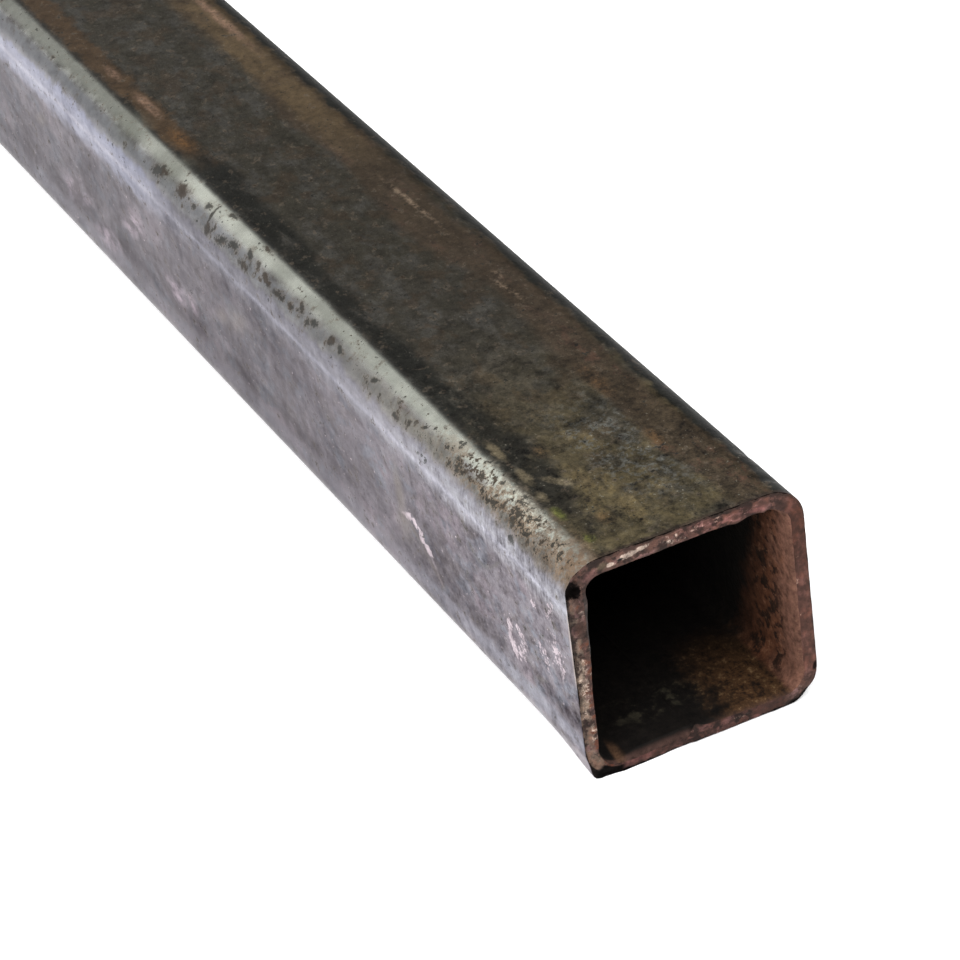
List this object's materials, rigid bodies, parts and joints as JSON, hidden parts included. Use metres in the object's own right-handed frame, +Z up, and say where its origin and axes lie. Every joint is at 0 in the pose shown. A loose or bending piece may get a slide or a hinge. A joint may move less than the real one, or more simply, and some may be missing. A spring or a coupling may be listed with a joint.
{
  "type": "square metal tube",
  "caption": "Length of square steel hollow section with rounded corners, open at both ends, stock for cutting and welding into frames.",
  "frame": {"origin": "under the middle of the tube's length and width, on the level that its bottom wall rests on", "axes": "+X along the tube towards the sawn end, +Y across it, +Z up out of the top wall"},
  "size_m": [1, 0.04, 0.04],
  "materials": {
    "steel": "mild steel with dark mill scale and patches of brown rust"
  },
  "bodies": {
    "root": {"square_tube": "steel"}
  },
  "joints": []
}
